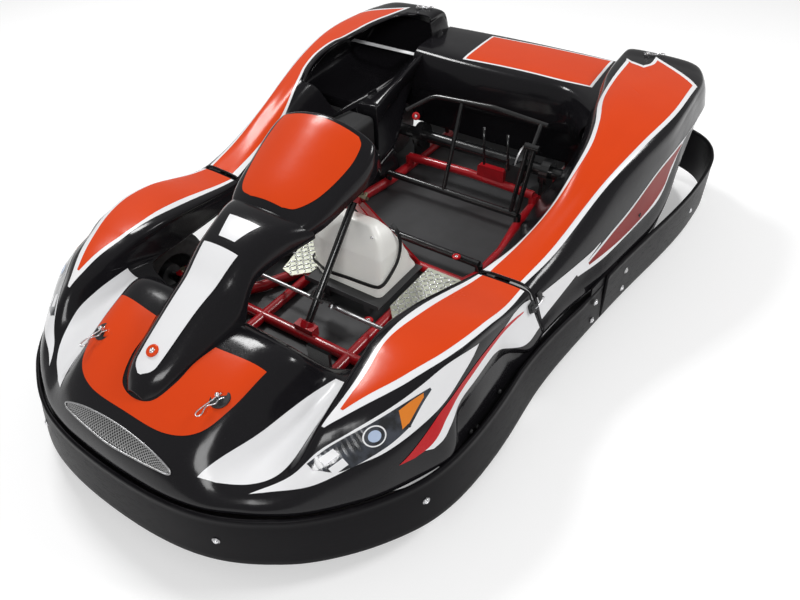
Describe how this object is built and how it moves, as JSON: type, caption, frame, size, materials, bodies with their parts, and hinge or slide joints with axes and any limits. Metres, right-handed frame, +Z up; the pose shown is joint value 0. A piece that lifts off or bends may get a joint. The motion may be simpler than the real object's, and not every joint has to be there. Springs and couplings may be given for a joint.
{
  "type": "rental racing kart",
  "caption": "Low four-wheel rental kart with a moulded nose, side pods and rear deck, an all-round bumper belt, a tube frame, linked front steering and a live rear axle.",
  "frame": {"origin": "on the floor under the middle of the kart's outline", "axes": "+Z up, -Y towards the nose, +X towards the driver's left"},
  "size_m": [1.354, 1.9819, 0.5971],
  "materials": {
    "body_black": "gloss black moulding with orange, white and red sheets laid on it",
    "belt_black": "satin black belt",
    "frame_red": "gloss red paint",
    "bar_black": "gloss black paint",
    "zinc": "yellow zinc",
    "steel": "bare steel",
    "rim_black": "satin black paint",
    "tyre_black": "worn slick tyre",
    "tank_white": "milky plastic",
    "strap_black": "rubber strap",
    "tray_alu": "checker plate",
    "engine_black": "matt black",
    "tray_dark": "dark grey sheet",
    "sheet_orange": "laid orange sheet",
    "sheet_white": "laid white sheet",
    "sheet_red": "laid red sheet",
    "bright_metal": "bright clips, rings and mesh"
  },
  "bodies": {
    "chassis": {"front_body": "body_black", "spine_fairing": "body_black", "dash_panel": "body_black", "left_side_pod": "body_black", "right_side_pod": "body_black", "rear_deck": "body_black", "bumper_front": "belt_black", "bumper_rear": "belt_black", "bumper_joint_plates": "belt_black", "bumper_arms": "bar_black", "side_bars": "bar_black", "frame_rails": "frame_red", "body_brackets": "bar_black", "cross_tubes": "frame_red", "king_pin_yokes": "frame_red", "king_pins": "zinc", "column_bracket": "frame_red", "column_support": "frame_red", "column_clamp": "zinc", "axle_carriers": "frame_red", "brake_caliper": "rim_black", "fuel_tank": "tank_white", "tank_strap": "strap_black", "floor_tray": "tray_dark", "foot_trays": "tray_alu", "seat_bars": "bar_black", "seat_stays": "bar_black", "engine": "engine_black", "engine_mount": "bar_black", "pedals": "bar_black"},
    "steering": {"steering_column": "bar_black"},
    "left_stub": {"left_knuckle": "bar_black"},
    "left_rod": {"left_tie_rod": "steel"},
    "left_front_wheel": {"left_front_rim": "rim_black", "left_front_tyre": "tyre_black"},
    "right_stub": {"right_knuckle": "bar_black"},
    "right_rod": {"right_tie_rod": "steel"},
    "right_front_wheel": {"right_front_rim": "rim_black", "right_front_tyre": "tyre_black"},
    "rear_wheels": {"rear_axle": "steel", "sprocket": "steel", "brake_disc": "steel", "rear_rims": "rim_black", "left_rear_tyre": "tyre_black", "right_rear_tyre": "tyre_black"}
  },
  "joints": [
    {"name": "steering_turn", "type": "hinge", "parent": "chassis", "child": "steering", "pos_m": [0, -0.38, 0.07], "axis": [0, 0.6711, 0.7414], "range_deg": [-60, 60]},
    {"name": "left_stub_turn", "type": "hinge", "parent": "chassis", "child": "left_stub", "pos_m": [0.346, -0.445, 0.125], "axis": [0, 0, 1], "range_deg": [-18, 18]},
    {"name": "left_rod_turn", "type": "hinge", "parent": "left_stub", "child": "left_rod", "pos_m": [0.332, -0.29073, 0.09709], "axis": [0, 0, 1], "range_deg": [-18, 18]},
    {"name": "left_front_wheel_spin", "type": "hinge", "parent": "left_stub", "child": "left_front_wheel", "pos_m": [0.44, -0.445, 0.125], "axis": [1, 0, 0], "continuous": true},
    {"name": "right_stub_turn", "type": "hinge", "parent": "chassis", "child": "right_stub", "pos_m": [-0.346, -0.445, 0.125], "axis": [0, 0, 1], "range_deg": [-18, 18]},
    {"name": "right_rod_turn", "type": "hinge", "parent": "right_stub", "child": "right_rod", "pos_m": [-0.332, -0.29073, 0.09709], "axis": [0, 0, 1], "range_deg": [-18, 18]},
    {"name": "right_front_wheel_spin", "type": "hinge", "parent": "right_stub", "child": "right_front_wheel", "pos_m": [-0.44, -0.445, 0.125], "axis": [1, 0, 0], "continuous": true},
    {"name": "rear_axle_spin", "type": "hinge", "parent": "chassis", "child": "rear_wheels", "pos_m": [0, 0.55, 0.14], "axis": [1, 0, 0], "continuous": true}
  ],
  "couplings": [
    {"joint": "left_stub_turn", "follows": "steering_turn", "ratio": 0.3},
    {"joint": "left_rod_turn", "follows": "steering_turn", "ratio": -0.3},
    {"joint": "right_stub_turn", "follows": "steering_turn", "ratio": 0.3},
    {"joint": "right_rod_turn", "follows": "steering_turn", "ratio": -0.3}
  ]
}
